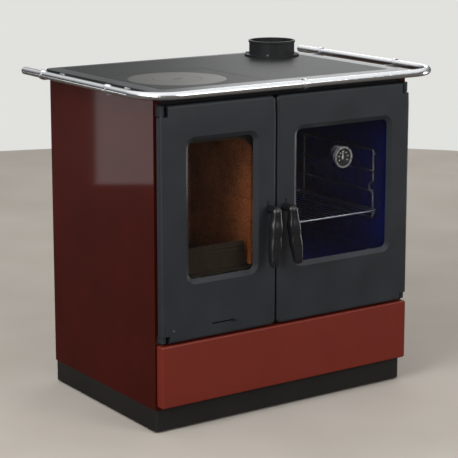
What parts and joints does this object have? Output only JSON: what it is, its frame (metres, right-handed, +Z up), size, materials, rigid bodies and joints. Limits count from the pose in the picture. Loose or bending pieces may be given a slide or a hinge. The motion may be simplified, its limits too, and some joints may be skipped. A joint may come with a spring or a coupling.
{
  "type": "wood-burning cooking stove",
  "caption": "Free-standing wood-burning cooking stove with glazed fire door, glazed oven door with thermometer, wood drawer, hob with lift-out ring, flue collar and towel rail.",
  "frame": {"origin": "on the floor, under the middle of the overall footprint", "axes": "+Z up, -Y out of the doors, +X to the oven side"},
  "size_m": [0.946, 0.653, 0.917],
  "materials": {
    "black_sheet": "black powder-coated sheet steel",
    "grey_sheet": "plain grey primed sheet steel",
    "maroon_enamel": "glossy dark red vitreous enamel",
    "red_enamel": "satin dark red enamel",
    "frame_black": "heat-proof black paint",
    "fire_iron": "raw cast iron, sooted",
    "fireclay": "fireclay brick, sooted",
    "blue_enamel": "dark blue vitreous enamel",
    "wire_chrome": "chromed wire",
    "zinc_steel": "zinc-plated steel",
    "hob_iron": "ground cast iron",
    "rail_chrome": "polished chrome",
    "door_iron": "anthracite painted cast iron",
    "rope_fibre": "black glass-fibre rope",
    "fire_glass": "smoke-tinted glass ceramic",
    "oven_glass": "tinted tempered glass",
    "lens_glass": "clear glass",
    "black_gloss": "glossy black phenolic",
    "bezel_chrome": "polished bezel",
    "dial_black": "matt black dial",
    "needle_white": "white pointer"
  },
  "bodies": {
    "cabinet": {"plinth": "black_sheet", "levelling_feet": "zinc_steel", "base_plate": "grey_sheet", "side_panel_left": "maroon_enamel", "side_panel_right": "maroon_enamel", "back_panel": "grey_sheet", "deck": "grey_sheet", "front_frame": "frame_black", "firebox_shell": "grey_sheet", "fire_bed": "fire_iron", "firebrick_left": "fireclay", "firebrick_right": "fireclay", "firebrick_rear": "fireclay", "oven_cavity": "blue_enamel", "smoke_casing": "grey_sheet", "oven_rack_left": "wire_chrome", "oven_rack_right": "wire_chrome", "drawer_rails": "grey_sheet", "fire_hinge_blocks": "door_iron", "oven_hinge_blocks": "door_iron", "hob_frame": "hob_iron", "hob_trim": "hob_iron", "hob_plate_fire": "hob_iron", "hob_plate_main": "hob_iron", "flue_collar": "hob_iron", "flue_collar_bolts": "zinc_steel", "rail": "rail_chrome", "rail_brackets": "rail_chrome"},
    "fire_door": {"fire_door_frame": "door_iron", "fire_door_seal": "rope_fibre", "fire_door_pins": "zinc_steel", "fire_glass_seal": "rope_fibre", "fire_door_glass": "fire_glass", "fire_glass_clips": "zinc_steel", "fire_door_screw": "zinc_steel"},
    "fire_handle": {"fire_handle_grip": "black_gloss", "fire_handle_latch": "zinc_steel"},
    "air_slider": {"air_slider": "zinc_steel"},
    "oven_door": {"oven_door_frame": "door_iron", "oven_door_seal": "rope_fibre", "oven_door_pins": "zinc_steel", "oven_glass_seal": "rope_fibre", "oven_door_glass": "oven_glass", "oven_glass_clips": "zinc_steel", "thermometer_case": "bezel_chrome", "thermometer_dial": "dial_black", "thermometer_lens": "lens_glass", "thermometer_stem": "zinc_steel"},
    "oven_handle": {"oven_handle_grip": "black_gloss", "oven_handle_latch": "zinc_steel"},
    "thermometer_needle": {"thermometer_needle": "needle_white"},
    "drawer": {"drawer_front": "red_enamel", "drawer_box": "black_sheet"},
    "ash_pan": {"ash_pan": "black_sheet"},
    "oven_shelf": {"oven_shelf": "wire_chrome"},
    "fire_grate": {"fire_grate": "fire_iron"},
    "log_guard": {"log_guard": "fire_iron"},
    "hob_ring": {"hob_ring": "hob_iron"},
    "hob_cap": {"hob_cap": "hob_iron"}
  },
  "joints": [
    {"name": "fire_door_swing", "type": "hinge", "parent": "cabinet", "child": "fire_door", "pos_m": [-0.386, -0.2475, 0.538], "axis": [0, 0, -1], "range_deg": [0, 100]},
    {"name": "oven_door_swing", "type": "hinge", "parent": "cabinet", "child": "oven_door", "pos_m": [0.386, -0.2475, 0.538], "axis": [0, 0, 1], "range_deg": [0, 100]},
    {"name": "fire_handle_turn", "type": "hinge", "parent": "fire_door", "child": "fire_handle", "pos_m": [-0.07, -0.2475, 0.548], "axis": [0, 1, 0], "range_deg": [0, 75]},
    {"name": "oven_handle_turn", "type": "hinge", "parent": "oven_door", "child": "oven_handle", "pos_m": [-0.02, -0.2475, 0.548], "axis": [0, -1, 0], "range_deg": [0, 75]},
    {"name": "air_slide", "type": "slide", "parent": "fire_door", "child": "air_slider", "axis": [-1, 0, 0], "range_m": [0, 0.063]},
    {"name": "needle_turn", "type": "hinge", "parent": "oven_door", "child": "thermometer_needle", "pos_m": [0.172, -0.2535, 0.657], "axis": [0, 1, 0], "range_deg": [-120, 120], "stiffness_Nm_per_rad": 0.001},
    {"name": "drawer_slide", "type": "slide", "parent": "cabinet", "child": "drawer", "axis": [0, -1, 0], "range_m": [0, 0.4]},
    {"name": "ash_pan_slide", "type": "slide", "parent": "cabinet", "child": "ash_pan", "axis": [0, -1, 0], "range_m": [0, 0.015]},
    {"name": "oven_shelf_slide", "type": "slide", "parent": "cabinet", "child": "oven_shelf", "axis": [0, -1, 0], "range_m": [0, 0.025]},
    {"name": "fire_grate_lift", "type": "slide", "parent": "cabinet", "child": "fire_grate", "axis": [0, 0, 1], "range_m": [0, 0.06]},
    {"name": "log_guard_lift", "type": "slide", "parent": "cabinet", "child": "log_guard", "axis": [0, 0, 1], "range_m": [0, 0.04]},
    {"name": "hob_ring_lift", "type": "slide", "parent": "cabinet", "child": "hob_ring", "axis": [0, 0, 1], "range_m": [0, 0.04]},
    {"name": "hob_cap_lift", "type": "slide", "parent": "hob_ring", "child": "hob_cap", "axis": [0, 0, 1], "range_m": [0, 0.04]}
  ]
}
